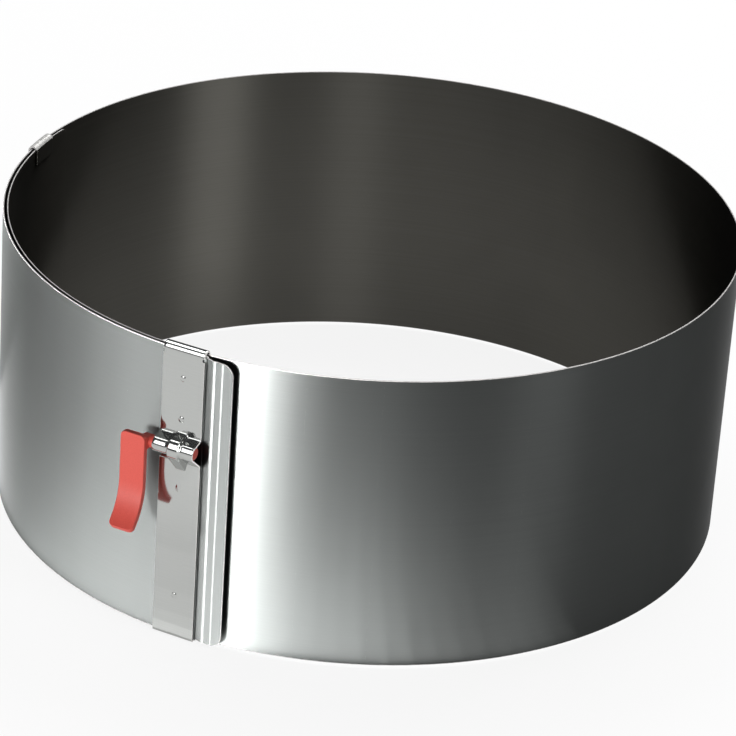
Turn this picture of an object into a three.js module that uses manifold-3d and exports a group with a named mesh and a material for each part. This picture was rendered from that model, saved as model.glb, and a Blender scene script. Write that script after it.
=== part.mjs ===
// Adjustable cake ring: a coiled stainless strip, closed by a folded clamp with a cam lever.
// Millimetres, +Z up. The clamp faces -Y, and the origin lies under the middle of the whole ring.
import * as THREE from "three";
import { mergeVertices } from "three/addons/utils/BufferGeometryUtils.js";
import Module from "manifold-3d";

const wasm = await Module();
wasm.setup();

// Strip
const bandHeight = 100;
const bandThickness = 0.4;
const ringRadius = 121.8; // middle of the sheet, where the clamp sits
const layerPitch = 1.35; // from one layer of the coil to the next
const overlapLength = 190; // strip that goes past the clamp a second time

// Strip cut into rigid arcs that flex against each other
const arcCount = 40;
const clampedLength = 19; // length held by the clamp, centred on it
const tailArcLength = 30; // the last arc, which carries the clips
const arcGap = 0.15;
const chordsPerArc = 4;
const chordsInTail = 10;
const tailCornerRadius = 3;

// Grip: the strip's own outer end, stepped away from the ring
const gripRampLength = 3.2;
const gripRampRise = 1.35;
const gripFallLength = 2.7;
const gripFallDrop = 0.4;
const gripFlangeLength = 4;
const gripCornerRadius = 4;
const gripEdgeDrop = 0.5; // its edges lie this far inside the rims

// Clamp plate, folded over both rims
const plateWidth = 14.8;
const plateThickness = 0.55;
const weldGap = 0.05;
const hookDepth = 2.15; // from the middle of the outer layer to the inner leg
const hookLegLength = 6;
const hookBendRadius = 0.65; // inside of the fold
const topRimRoom = 0.5;
const bottomRimRoom = 0.25;
const hemBendRadius = 0.35;
const reliefRadius = 0.6;

// Weld pips on the plate
const pipRadius = 1;
const pipHeight = 0.35;
const pipHeightShares = [0.143, 0.525, 0.765, 0.905]; // of the strip's height

// Barrel pressed out of the plate round the lever's shaft
const axisHeightShare = 0.675; // of the strip's height
const axisStandoff = 3.2; // from the middle of the outer layer
const barrelRadius = 2.7;
const barrelSkirtDrop = 5.6;
const barrelShelfRise = 3.4;
const bulgeRadius = 3.7;
const bulgeSkirtDrop = 8.3;
const bulgeShelfRise = 4.3;
const bulgeWidth = 3.3;
const bulgeOffset = 0.35; // towards the grip
const bulgeSlope = 0.75;
const barrelFootRadius = 0.8;

// Lever
const shaftRadius = 1.95;
const shaftDome = 0.7;
const shaftEndReach = 0.2; // past the plate's edge
const camNoseRadius = 1;
const camReach = 3.8;
const camLead = THREE.MathUtils.degToRad(8); // past straight in, so the closed lever stays shut
const camWidth = 2.6;
const leverGap = 1.6; // between plate and paddle
const leverWidth = 8.6;
const leverThickness = 2;
const leverStandoff = 2.2; // from the axis to the paddle's back
const leverHead = 3.1; // paddle above the axis
const leverStraight = 16.5;
const flareRadius = 19.7;
const flareAngle = THREE.MathUtils.degToRad(48);
const leverCornerRadius = 1.8;
const leverEdge = 0.35;
const hubRadius = 2.6;

// Window in the strip for the cam
const windowSideGap = 0.5;
const windowAbove = 1.9;
const windowBelow = 3;
const windowCornerRadius = 0.8;

// Clips on the tail
const clipLength = 12.5;
const clipThickness = 0.5;
const clipTailLength = 9.3; // strip past the clip
const clipReach = 2; // from the middle of the tail to the outer leg
const clipInnerLeg = 6.5;
const clipOuterLeg = 2.6;
const clipBendRadius = 0.6;
const clipRimRoom = 0.3;
const clipWeldGap = 0.12;

// Facets
const bendSteps = 4;
const arcSteps = 12;
const roundSteps = 24;
const cutOverrun = 5;
const mergeDistance = 0.0005;

// Each local frame has x along the strip, clockwise from above, y outward and z up.
const travel = new THREE.Vector3(1, 0, 0);
const outward = new THREE.Vector3(0, 1, 0);
const up = new THREE.Vector3(0, 0, 1);
const inward = outward.clone().negate();
const sectionFrame = new THREE.Matrix4().makeBasis(outward, up, travel);
const elevationFrame = new THREE.Matrix4().makeBasis(travel, up, inward);

const steel = () =>
  new THREE.MeshStandardMaterial({ color: 0x9a9c9b, roughness: 0.22, metalness: 1 });
const redPlastic = () =>
  new THREE.MeshStandardMaterial({ color: 0xc9463c, roughness: 0.45, metalness: 0 });

const toSolid = (geometry) => {
  const loose = geometry.index ? geometry.toNonIndexed() : geometry;
  const bare = new THREE.BufferGeometry();
  bare.setAttribute("position", loose.getAttribute("position"));
  const merged = mergeVertices(bare, mergeDistance);
  const mesh = new wasm.Mesh({
    numProp: 3,
    vertProperties: merged.attributes.position.array,
    triVerts: new Uint32Array(merged.index.array),
  });
  return new wasm.Manifold(mesh);
};

const toGeometry = (solid) => {
  const mesh = solid.getMesh();
  const geometry = new THREE.BufferGeometry();
  geometry.setAttribute("position", new THREE.BufferAttribute(mesh.vertProperties, 3));
  geometry.setIndex(new THREE.BufferAttribute(mesh.triVerts, 1));
  return geometry;
};

const named = (name, geometry, material) => {
  const mesh = new THREE.Mesh(geometry, material);
  mesh.name = name;
  return mesh;
};

// The arc that rounds a corner between two straight runs.
const bend = (before, corner, after, radius) => {
  const back = before.clone().sub(corner).normalize();
  const ahead = after.clone().sub(corner).normalize();
  const half = Math.acos(back.dot(ahead)) / 2;
  const middle = back.clone().add(ahead).normalize();
  const centre = middle.multiplyScalar(radius / Math.sin(half)).add(corner);
  const start = back.clone().multiplyScalar(radius / Math.tan(half)).add(corner).sub(centre);
  const turn = Math.sign(back.cross(ahead)) * -(Math.PI - 2 * half);
  return Array.from({ length: bendSteps + 1 }, (_, i) =>
    start.clone().rotateAround(new THREE.Vector2(), (turn * i) / bendSteps).add(centre),
  );
};

// The outline of a sheet whose middle follows the points.
const sheetOutline = (points, thickness) => {
  const sides = points.map((point, i) => {
    const back = point.clone().sub(points[Math.max(i - 1, 0)]).normalize();
    const ahead = points[Math.min(i + 1, points.length - 1)].clone().sub(point).normalize();
    const along = back.clone().add(ahead).normalize();
    const stretch = along.dot(i ? back : ahead);
    const side = new THREE.Vector2(-along.y, along.x).multiplyScalar(thickness / 2 / stretch);
    return [point.clone().add(side), point.clone().sub(side)];
  });
  return [...sides.map((pair) => pair[0]), ...sides.map((pair) => pair[1]).reverse()];
};

const roundedBox = (left, right, bottom, top, cornerRadii) => {
  const [bottomLeft, bottomRight, topRight, topLeft] = cornerRadii;
  const shape = new THREE.Shape();
  shape.moveTo(left + bottomLeft, bottom);
  shape.absarc(right - bottomRight, bottom + bottomRight, bottomRight, -Math.PI / 2, 0, false);
  shape.absarc(right - topRight, top - topRight, topRight, 0, Math.PI / 2, false);
  shape.absarc(left + topLeft, top - topLeft, topLeft, Math.PI / 2, Math.PI, false);
  shape.absarc(left + bottomLeft, bottom + bottomLeft, bottomLeft, Math.PI, Math.PI * 1.5, false);
  return shape;
};

// A section across the strip, extruded along it.
const alongStrip = (shape, from, to, options = {}) => {
  const settings = { bevelEnabled: false, curveSegments: bendSteps * 2, ...options };
  const geometry = new THREE.ExtrudeGeometry(shape, { depth: to - from, ...settings });
  return geometry.applyMatrix4(sectionFrame).translate(from, 0, 0);
};

// An outline seen from outside the ring, extruded through the sheet.
const throughStrip = (shape, from, to) => {
  const settings = { depth: to - from, bevelEnabled: false, curveSegments: bendSteps * 2 };
  return new THREE.ExtrudeGeometry(shape, settings).applyMatrix4(elevationFrame).translate(0, to, 0);
};

// A closed skin through sections of equal point count, placed along the strip.
const loft = (sections) => {
  const count = sections[0].outline.length;
  const positions = sections.flatMap(({ x, outline }) => outline.flatMap((p) => [x, p.x, p.y]));
  const index = [];
  for (let s = 0; s + 1 < sections.length; s++) {
    for (let i = 0; i < count; i++) {
      const a = s * count + i;
      const b = s * count + ((i + 1) % count);
      index.push(a, b, a + count, b, b + count, a + count);
    }
  }
  const cap = THREE.ShapeUtils.triangulateShape(sections[0].outline, []);
  const last = (sections.length - 1) * count;
  cap.forEach(([a, b, c]) => index.push(a, c, b, last + a, last + b, last + c));
  const geometry = new THREE.BufferGeometry();
  geometry.setAttribute("position", new THREE.Float32BufferAttribute(positions, 3));
  return geometry.setIndex(index);
};

const turnedCounterClockwise = (outline) =>
  THREE.ShapeUtils.isClockWise(outline) ? [...outline].reverse() : outline;

// Rolls flat geometry round the ring, keeping lengths at the middle of the sheet.
const rollRound = (geometry, radius) => {
  const position = geometry.getAttribute("position");
  for (let i = 0; i < position.count; i++) {
    const angle = position.getX(i) / radius;
    const reach = radius + position.getY(i);
    position.setXY(i, reach * Math.sin(angle), reach * Math.cos(angle) - radius);
  }
  return geometry;
};

// Strip arcs
const fullLength = 2 * Math.PI * (ringRadius - layerPitch / 2) + overlapLength;
const flexingLength = fullLength - clampedLength / 2;
const arcLength = (flexingLength - tailArcLength) / (arcCount - 1);

const arcShape = (radius, length, chords) => {
  const points = Array.from({ length: chords + 1 }, (_, i) => {
    const angle = (arcGap / 2 + ((length - arcGap) * i) / chords) / radius;
    return new THREE.Vector2(radius * Math.sin(angle), radius * Math.cos(angle) - radius);
  });
  return new THREE.Shape(sheetOutline(points, bandThickness));
};

const arcGeometry = (radius, length, chords = chordsPerArc) =>
  new THREE.ExtrudeGeometry(arcShape(radius, length, chords), {
    depth: bandHeight,
    bevelEnabled: false,
  });

const tailGeometry = (radius) => {
  const corners = [0, tailCornerRadius, tailCornerRadius, 0];
  const end = radius * Math.sin((tailArcLength - arcGap / 2) / radius);
  const outline = roundedBox(-cutOverrun, end, 0, bandHeight, corners);
  const keep = toSolid(throughStrip(outline, -tailArcLength, cutOverrun));
  return toGeometry(toSolid(arcGeometry(radius, tailArcLength, chordsInTail)).intersect(keep));
};

// Strip end under the clamp, with its grip
const axisHeight = bandHeight * axisHeightShare;

const gripPath = () => {
  const onRing = (along, rise) => {
    const angle = along / ringRadius;
    const reach = ringRadius + rise;
    return new THREE.Vector2(reach * Math.sin(angle), reach * Math.cos(angle) - ringRadius);
  };
  const start = clampedLength / 2 - arcGap / 2;
  const end = -plateWidth / 2;
  const held = Array.from({ length: chordsPerArc + 1 }, (_, i) =>
    onRing(start + ((end - start) * i) / chordsPerArc, 0),
  );
  const crest = end - gripRampLength;
  const foot = crest - gripFallLength;
  const flange = [
    onRing(crest, gripRampRise),
    onRing(foot, gripRampRise - gripFallDrop),
    onRing(foot - gripFlangeLength / 2, gripRampRise - gripFallDrop),
    onRing(foot - gripFlangeLength, gripRampRise - gripFallDrop),
  ];
  return [...held, ...flange];
};

const camCentre = -bulgeOffset;
const windowHalf = camWidth / 2 + windowSideGap;

const gripEndGeometry = () => {
  const path = gripPath();
  const sheet = new THREE.Shape(sheetOutline(path, bandThickness));
  const strip = toSolid(
    new THREE.ExtrudeGeometry(sheet, { depth: bandHeight, bevelEnabled: false }),
  );
  const freeEdge = path[path.length - 1].x;
  const gripSide = -plateWidth / 2 - gripEdgeDrop;
  const square = [0, 0, 0, 0];
  const held = roundedBox(gripSide, clampedLength, -cutOverrun, bandHeight + cutOverrun, square);
  const rounded = [gripCornerRadius, 0, 0, gripCornerRadius];
  const gripTop = bandHeight - gripEdgeDrop;
  const grip = roundedBox(freeEdge, gripSide + gripEdgeDrop, gripEdgeDrop, gripTop, rounded);
  const keep = toSolid(throughStrip(held, -cutOverrun, cutOverrun)).add(
    toSolid(throughStrip(grip, -cutOverrun, cutOverrun)),
  );
  const opening = roundedBox(
    camCentre - windowHalf,
    camCentre + windowHalf,
    axisHeight - windowBelow,
    axisHeight + windowAbove,
    Array(4).fill(windowCornerRadius),
  );
  return toGeometry(
    strip.intersect(keep).subtract(toSolid(throughStrip(opening, -cutOverrun, cutOverrun))),
  );
};

// Clamp plate
const plateMiddle = bandThickness / 2 + weldGap + plateThickness / 2;

// Where a straight run from a point touches a circle.
const tangentAngle = (from, centre, radius, side) => {
  const offset = from.clone().sub(centre);
  return offset.angle() + side * Math.acos(radius / offset.length());
};

const platePath = (radius, skirtDrop, shelfRise) => {
  const legMiddle = -hookDepth - plateThickness / 2;
  const roof = bandHeight + topRimRoom + plateThickness / 2;
  const floor = -bottomRimRoom - plateThickness / 2;
  const at = (y, z) => new THREE.Vector2(y, z);
  const bottomCorners = [at(legMiddle, floor), at(plateMiddle, floor)];
  const topCorners = [at(plateMiddle, roof), at(legMiddle, roof)];
  const bottomLeg = at(legMiddle, floor + hookLegLength);
  const topLeg = at(legMiddle, roof - hookLegLength);
  const hem = hemBendRadius + plateThickness / 2;
  const fold = hookBendRadius + plateThickness / 2;

  const axis = at(axisStandoff, axisHeight);
  const middleRadius = radius - plateThickness / 2;
  const skirtFoot = at(plateMiddle, axisHeight - skirtDrop);
  const shelfFoot = at(plateMiddle, axisHeight + shelfRise);
  const first = tangentAngle(skirtFoot, axis, middleRadius, 1) - 2 * Math.PI;
  const last = tangentAngle(shelfFoot, axis, middleRadius, -1);
  const wrap = Array.from({ length: arcSteps + 1 }, (_, i) => {
    const angle = first + ((last - first) * i) / arcSteps;
    return at(axis.x + middleRadius * Math.cos(angle), axis.y + middleRadius * Math.sin(angle));
  });
  return [
    bottomLeg,
    ...bend(bottomLeg, bottomCorners[0], bottomCorners[1], hem),
    ...bend(bottomCorners[0], bottomCorners[1], skirtFoot, hem),
    ...bend(bottomCorners[1], skirtFoot, wrap[0], barrelFootRadius),
    ...wrap,
    ...bend(wrap[wrap.length - 1], shelfFoot, topCorners[0], barrelFootRadius),
    ...bend(shelfFoot, topCorners[0], topCorners[1], fold),
    ...bend(topCorners[0], topCorners[1], topLeg, fold),
    topLeg,
  ];
};

// A quarter ellipse from a rim out to the axis, for turned ends.
const dome = (radius, height, base) => {
  const rise = Array.from({ length: bendSteps }, (_, i) => {
    const angle = (Math.PI / 2) * (i / bendSteps);
    return new THREE.Vector2(radius * Math.cos(angle), base + height * Math.sin(angle));
  });
  return [...rise, new THREE.Vector2(0, base + height)];
};

const pipGeometry = () => {
  const sunk = -plateThickness / 2;
  const foot = [new THREE.Vector2(0, sunk), new THREE.Vector2(pipRadius, sunk)];
  return new THREE.LatheGeometry([...foot, ...dome(pipRadius, pipHeight, 0)], arcSteps);
};

const clampPlateGeometry = () => {
  const section = (x, path) => ({
    x,
    outline: turnedCounterClockwise(sheetOutline(path, plateThickness)),
  });
  const tube = platePath(barrelRadius, barrelSkirtDrop, barrelShelfRise);
  const bulge = platePath(bulgeRadius, bulgeSkirtDrop, bulgeShelfRise);
  const bulgeStart = camCentre - bulgeWidth / 2;
  const bulgeEnd = camCentre + bulgeWidth / 2;
  let plate = toSolid(
    loft([
      section(-plateWidth / 2, tube),
      section(bulgeStart - bulgeSlope, tube),
      section(bulgeStart, bulge),
      section(bulgeEnd, bulge),
      section(bulgeEnd + bulgeSlope, tube),
      section(plateWidth / 2, tube),
    ]),
  );
  const face = plateMiddle + plateThickness / 2;
  pipHeightShares.forEach((share) => {
    plate = plate.add(toSolid(pipGeometry().translate(0, face, bandHeight * share)));
  });
  const notchHeight = bandHeight + topRimRoom - hookBendRadius - reliefRadius;
  const through = 2 * plateThickness;
  [-plateWidth / 2, plateWidth / 2].forEach((x) => {
    const notch = new THREE.CylinderGeometry(reliefRadius, reliefRadius, through, arcSteps);
    plate = plate.subtract(toSolid(notch.translate(x, plateMiddle, notchHeight)));
  });
  return toGeometry(plate);
};

// Lever, one moulding with its shaft and cam
const shaftAxis = new THREE.Vector2(axisStandoff, axisHeight);
const leverNear = plateWidth / 2 + leverGap;
const leverFar = leverNear + leverWidth;
const leverMiddle = axisStandoff + leverStandoff + leverThickness / 2;

const paddleSolid = () => {
  const head = new THREE.Vector2(leverMiddle, shaftAxis.y + leverHead);
  const flareTop = head.y - leverStraight;
  const flare = Array.from({ length: arcSteps + 1 }, (_, i) => {
    const angle = Math.PI + (flareAngle * i) / arcSteps;
    const out = leverMiddle + flareRadius * (1 + Math.cos(angle));
    return new THREE.Vector2(out, flareTop + flareRadius * Math.sin(angle));
  });
  const side = sheetOutline([head, ...flare], leverThickness - 2 * leverEdge);
  const paddle = alongStrip(new THREE.Shape(side), leverNear + leverEdge, leverFar - leverEdge, {
    bevelEnabled: true,
    bevelSize: leverEdge,
    bevelThickness: leverEdge,
    bevelSegments: 2,
  });
  const tip = Math.min(...side.map((p) => p.y)) - leverEdge;
  const corners = Array(4).fill(leverCornerRadius);
  const front = roundedBox(leverNear, leverFar, tip, head.y, corners);
  return toSolid(paddle).intersect(toSolid(throughStrip(front, 0, leverMiddle + flareRadius)));
};

const hubSolid = () => {
  const hub = new THREE.Shape();
  hub.absarc(shaftAxis.x, shaftAxis.y, hubRadius, Math.PI / 2, (3 * Math.PI) / 2, false);
  hub.lineTo(leverMiddle, shaftAxis.y - hubRadius);
  hub.lineTo(leverMiddle, shaftAxis.y + hubRadius);
  const end = leverFar - leverCornerRadius;
  return toSolid(alongStrip(hub, leverNear, end, { curveSegments: arcSteps }));
};

const shaftSolid = () => {
  const inside = leverNear + leverEdge;
  const profile = [
    new THREE.Vector2(0, -inside),
    new THREE.Vector2(shaftRadius, -inside),
    ...dome(shaftRadius, shaftDome, plateWidth / 2 + shaftEndReach),
  ];
  const shaft = new THREE.LatheGeometry(profile, roundSteps).rotateZ(Math.PI / 2);
  return toSolid(shaft.translate(0, shaftAxis.x, shaftAxis.y));
};

// A round nose joined to the shaft by its two tangents, pointing at the ring.
const camSolid = () => {
  const pointing = Math.PI - camLead;
  const nose = new THREE.Vector2(Math.cos(pointing), Math.sin(pointing));
  nose.multiplyScalar(camReach - camNoseRadius).add(shaftAxis);
  const spread = Math.acos((shaftRadius - camNoseRadius) / nose.distanceTo(shaftAxis));
  const after = pointing + spread;
  const before = pointing - spread;
  const cam = new THREE.Shape();
  cam.absarc(shaftAxis.x, shaftAxis.y, shaftRadius, after, before + 2 * Math.PI, false);
  cam.absarc(nose.x, nose.y, camNoseRadius, before, after, false);
  const from = camCentre - camWidth / 2;
  return toSolid(alongStrip(cam, from, from + camWidth, { curveSegments: arcSteps }));
};

const leverGeometry = () =>
  toGeometry(paddleSolid().add(hubSolid()).add(shaftSolid()).add(camSolid()));

// Clips, folded over both layers at the tail
const clipGeometry = (radius, isTop) => {
  const inner = -bandThickness / 2 - clipWeldGap - clipThickness / 2;
  const outer = clipReach + clipThickness / 2;
  const rim = isTop ? bandHeight : 0;
  const away = isTop ? 1 : -1;
  const fold = rim + away * (clipRimRoom + clipThickness / 2);
  const at = (y, z) => new THREE.Vector2(y, z);
  const legs = [at(inner, fold - away * clipInnerLeg), at(outer, fold - away * clipOuterLeg)];
  const corners = [at(inner, fold), at(outer, fold)];
  const bendMiddle = clipBendRadius + clipThickness / 2;
  const path = [
    legs[0],
    ...bend(legs[0], corners[0], corners[1], bendMiddle),
    ...bend(corners[0], corners[1], legs[1], bendMiddle),
    legs[1],
  ];
  const section = new THREE.Shape(turnedCounterClockwise(sheetOutline(path, clipThickness)));
  const flat = alongStrip(section, -clipLength / 2, clipLength / 2, { steps: chordsPerArc });
  return rollRound(flat, radius);
};

// Assembly
const ring = new THREE.Group();
const front = new THREE.Group();
front.position.set(0, -ringRadius, 0);
front.rotation.z = Math.PI;
ring.add(front);
front.add(named("band_grip_end", gripEndGeometry(), steel()));
front.add(named("clamp_plate", clampPlateGeometry(), steel()));
front.add(named("lever", leverGeometry(), redPlastic()));

// Each arc hangs on the end of the one before, so the coil tightens as it goes round.
const startAngle = clampedLength / 2 / ringRadius;
let carrier = front;
let hingePlace = new THREE.Vector3(
  ringRadius * Math.sin(startAngle),
  ringRadius * (Math.cos(startAngle) - 1),
  0,
);
let lean = -startAngle;
let turned = startAngle;
for (let k = 1; k <= arcCount; k++) {
  const radius = ringRadius - (layerPitch * turned) / (2 * Math.PI);
  const length = k < arcCount ? arcLength : tailArcLength;
  const arc = new THREE.Group();
  arc.position.copy(hingePlace);
  arc.rotation.z = lean;
  carrier.add(arc);
  const isTail = k === arcCount;
  const name = isTail ? "band_tail" : "band_arc_" + String(k).padStart(2, "0");
  arc.add(named(name, isTail ? tailGeometry(radius) : arcGeometry(radius, length), steel()));
  if (isTail) {
    const place = (tailArcLength - clipTailLength - clipLength / 2) / radius;
    const clips = new THREE.Group();
    clips.position.set(radius * Math.sin(place), radius * (Math.cos(place) - 1), 0);
    clips.rotation.z = -place;
    clips.add(named("tail_clip_top", clipGeometry(radius, true), steel()));
    clips.add(named("tail_clip_bottom", clipGeometry(radius, false), steel()));
    arc.add(clips);
  }
  const angle = length / radius;
  hingePlace = new THREE.Vector3(radius * Math.sin(angle), radius * (Math.cos(angle) - 1), 0);
  lean = -angle;
  turned += angle;
  carrier = arc;
}

// The whole ring stands on z = 0, centred on its own box.
const part = new THREE.Group();
part.add(ring);
const box = new THREE.Box3().setFromObject(ring);
const centre = box.getCenter(new THREE.Vector3());
ring.position.set(-centre.x, -centre.y, -box.min.z);

export default part;
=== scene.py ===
import bisect
import math

import bmesh
import bpy
from mathutils import Matrix, Vector


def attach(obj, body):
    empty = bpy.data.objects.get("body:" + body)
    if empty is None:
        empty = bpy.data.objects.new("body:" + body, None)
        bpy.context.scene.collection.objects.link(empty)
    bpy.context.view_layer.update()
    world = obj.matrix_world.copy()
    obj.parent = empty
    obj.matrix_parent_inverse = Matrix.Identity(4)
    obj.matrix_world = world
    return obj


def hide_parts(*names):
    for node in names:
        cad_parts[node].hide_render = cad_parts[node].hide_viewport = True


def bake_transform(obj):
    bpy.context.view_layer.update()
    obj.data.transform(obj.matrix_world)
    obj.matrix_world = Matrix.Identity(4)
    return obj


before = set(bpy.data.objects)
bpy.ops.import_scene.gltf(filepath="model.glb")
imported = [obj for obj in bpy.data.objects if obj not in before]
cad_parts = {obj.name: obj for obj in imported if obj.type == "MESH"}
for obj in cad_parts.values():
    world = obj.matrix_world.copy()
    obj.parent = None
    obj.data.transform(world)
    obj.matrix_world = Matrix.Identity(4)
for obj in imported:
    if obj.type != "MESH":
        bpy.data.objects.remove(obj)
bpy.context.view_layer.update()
millimetre = 0.001
collection = bpy.context.scene.collection


# The camera stands where the photograph was taken from.
view = {
    "target": (0.0006, 0.0061, 0.0508),  # middle of the ring
    "distance": 1.2526,
    "azimuth": 26.53,
    "elevation": 26.55,
    "roll": 3.84,
    "lens": 182.68,
    "sensor": 36.0,
    "shift": (0.0029, -0.0258),
    "clip": (0.05, 30.0),
}


def placed(name, data):
    made = bpy.data.objects.new(name, data)
    collection.objects.link(made)
    return made


def meshObject(bm, name):
    mesh = bpy.data.meshes.new(name)
    bm.to_mesh(mesh)
    bm.free()
    return placed(name, mesh)


def fromTarget(azimuth, elevation, distance):
    turn, rise = math.radians(azimuth), math.radians(elevation)
    level = distance * math.cos(rise)
    reach = Vector((level * math.sin(turn), -level * math.cos(turn), distance * math.sin(rise)))
    return Vector(view["target"]) + reach


def makeCamera():
    data = bpy.data.cameras.new("photoCamera")
    data.lens = view["lens"]
    data.sensor_width = view["sensor"]
    data.shift_x, data.shift_y = view["shift"]
    data.clip_start, data.clip_end = view["clip"]
    camera = placed("photoCamera", data)
    camera.location = fromTarget(view["azimuth"], view["elevation"], view["distance"])
    aim = (Vector(view["target"]) - camera.location).to_track_quat("-Z", "Y")
    roll = Matrix.Rotation(math.radians(view["roll"]), 4, "Z")
    camera.matrix_world = Matrix.Translation(camera.location) @ aim.to_matrix().to_4x4() @ roll
    bpy.context.scene.camera = camera


bpy.context.scene.view_settings.view_transform = "Standard"
makeCamera()
print("camera placed")

stage = {
    "floorRadius": 6.0,
    "floorSides": 96,
    "floorColour": (0.94, 0.94, 0.94, 1),
    "worldColour": (0.075, 0.077, 0.08, 1),
    "white": 0.87,  # share of the floor's colour that the camera sees unshaded
    "mirroredWhite": 0.35,  # the same in reflections
}

# Each lamp faces the ring: azimuth from the camera's own, elevation, distance, width, height
# and radiance.
lamps = {
    "leftSoftbox": (-140, 60, 1.9, 0.9, 0.8, 4.5),
    "keySoftbox": (-32, 1, 1.2, 0.9, 0.12, 33.0),
    "sheetSoftbox": (-46, 34, 1.9, 0.9, 1.5, 3.0),
    "edgeSoftbox": (38, 8, 1.2, 0.4, 0.4, 20.0),
    "frontSoftbox": (8, 30, 2.0, 0.5, 0.5, 5.0),
    "rightSoftbox": (56, 27, 1.9, 0.62, 0.6, 9.0),
    "topSoftbox": (-20, 84, 2.2, 1.0, 1.0, 1.5),
    "backSoftbox": (153, 54, 2.1, 1.3, 1.0, 6.0),
}

# A row of low upright panels from the back left to the front lights the strip only, as its
# upright highlights.
panels = {
    "distance": 0.78,
    "elevation": -0.5,
    "height": 0.09,
    "overlap": 1.02,  # width, as a share of the gap to the next
    "azimuths": (-134, -122, -110, -98, -86, -74, -62, -50, -40, -31, -23, -15, -7, 1),
    "radiances": (67, 39, 22, 26, 33, 50, 66, 70, 215, 410, 115, 28, 5, 1),
}

# A row of panels that lie on the floor before the wall brightens the strip's lower part, and a
# few weak ones that overlap before the clamp do the same for the plate.
floorPanels = {
    "near": 0.1235,  # from the ring's middle
    "far": 0.1975,
    "height": 0.0005,
    "step": 4,  # degrees from one to the next
    "beforePlate": (0.148, 0.160, 0.173, 0.187, 0.202, 0.218, 0.235),  # how far each one reaches
    "plateWidth": 0.1,
    "plateRadiance": 0.065,
    "azimuths": (-108, -96, -84, -72, -60, -48, -36, -24, -12, 0, 12, 24, 36),
    "radiances": (3.5, 4.0, 4.5, 5.5, 8.0, 8.6, 7.5, 7.0, 11.0, 9.0, 4.2, 1.8, 0.6),
}

# Pieces are sorted by the lamps that light them, and some lamps light one sort only.
lit = {
    name: bpy.data.collections.new(name)
    for name in ("polishedStrip", "brightSheet", "redLever", "allButLever")
}
for name in ("polishedStrip", "brightSheet"):
    lit["allButLever"].children.link(lit[name])
lightsOnly = {
    "keySoftbox": "redLever", "sheetSoftbox": "brightSheet", "edgeSoftbox": "brightSheet",
    "leftSoftbox": "allButLever", "rightSoftbox": "allButLever", "topSoftbox": "allButLever",
}


def node(tree, kind, **settings):
    made = tree.nodes.new(kind)
    for name, value in settings.items():
        setattr(made, name, value)
    return made


def makeStage():
    bm = bmesh.new()
    bmesh.ops.create_circle(
        bm, cap_ends=True, segments=stage["floorSides"], radius=stage["floorRadius"],
    )
    floor = meshObject(bm, "floor")
    material = bpy.data.materials.new("paleFloor")
    material.use_nodes = True
    tree = material.node_tree
    tree.nodes.clear()
    out = node(tree, "ShaderNodeOutputMaterial")
    diffuse = node(tree, "ShaderNodeBsdfDiffuse")
    diffuse.inputs["Color"].default_value = stage["floorColour"]
    white = node(tree, "ShaderNodeEmission")
    path = node(tree, "ShaderNodeLightPath")
    seen = node(tree, "ShaderNodeMath", operation="MULTIPLY")
    seen.inputs[1].default_value = stage["white"]
    mirrored = node(tree, "ShaderNodeMath", operation="MULTIPLY_ADD")
    mirrored.inputs[1].default_value = stage["mirroredWhite"]
    mix = node(tree, "ShaderNodeMixShader")
    link = tree.links.new
    link(path.outputs["Is Camera Ray"], seen.inputs[0])
    link(path.outputs["Is Glossy Ray"], mirrored.inputs[0])
    link(seen.outputs[0], mirrored.inputs[2])
    link(mirrored.outputs[0], mix.inputs["Fac"])
    link(diffuse.outputs[0], mix.inputs[1])
    link(white.outputs[0], mix.inputs[2])
    link(mix.outputs[0], out.inputs["Surface"])
    floor.data.materials.append(material)
    lit["allButLever"].objects.link(floor)
    world = bpy.data.worlds.new("studio")
    world.use_nodes = True
    world.node_tree.nodes["Background"].inputs["Color"].default_value = stage["worldColour"]
    bpy.context.scene.world = world


def makeLamp(name, azimuth, elevation, distance, width, height, radiance):
    data = bpy.data.lights.new(name, "AREA")
    data.shape = "RECTANGLE"
    data.size, data.size_y = width, height
    data.energy = radiance * math.pi * width * height
    lamp = placed(name, data)
    lamp.location = fromTarget(view["azimuth"] + azimuth, elevation, distance)
    aim = Vector(view["target"]) - lamp.location
    lamp.rotation_euler = aim.to_track_quat("-Z", "Y").to_euler()
    lamp.visible_camera = False
    return lamp


def makeFloorPanel(name, azimuth, far, width, radiance, receiver):
    near = floorPanels["near"]
    lamp = makeLamp(name, azimuth, 0, (near + far) / 2, width, far - near, radiance)
    lamp.location.z = floorPanels["height"]
    lamp.rotation_euler = (math.pi, 0, math.radians(view["azimuth"] + azimuth))
    lamp.visible_diffuse = False
    lamp.light_linking.receiver_collection = lit[receiver]


# The run of a list of lengths that a place falls in, and how far along that run.
def shareOf(lengths, along):
    i = min(len(lengths) - 2, max(0, bisect.bisect_right(lengths, along) - 1))
    return i, (along - lengths[i]) / (lengths[i + 1] - lengths[i])


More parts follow.
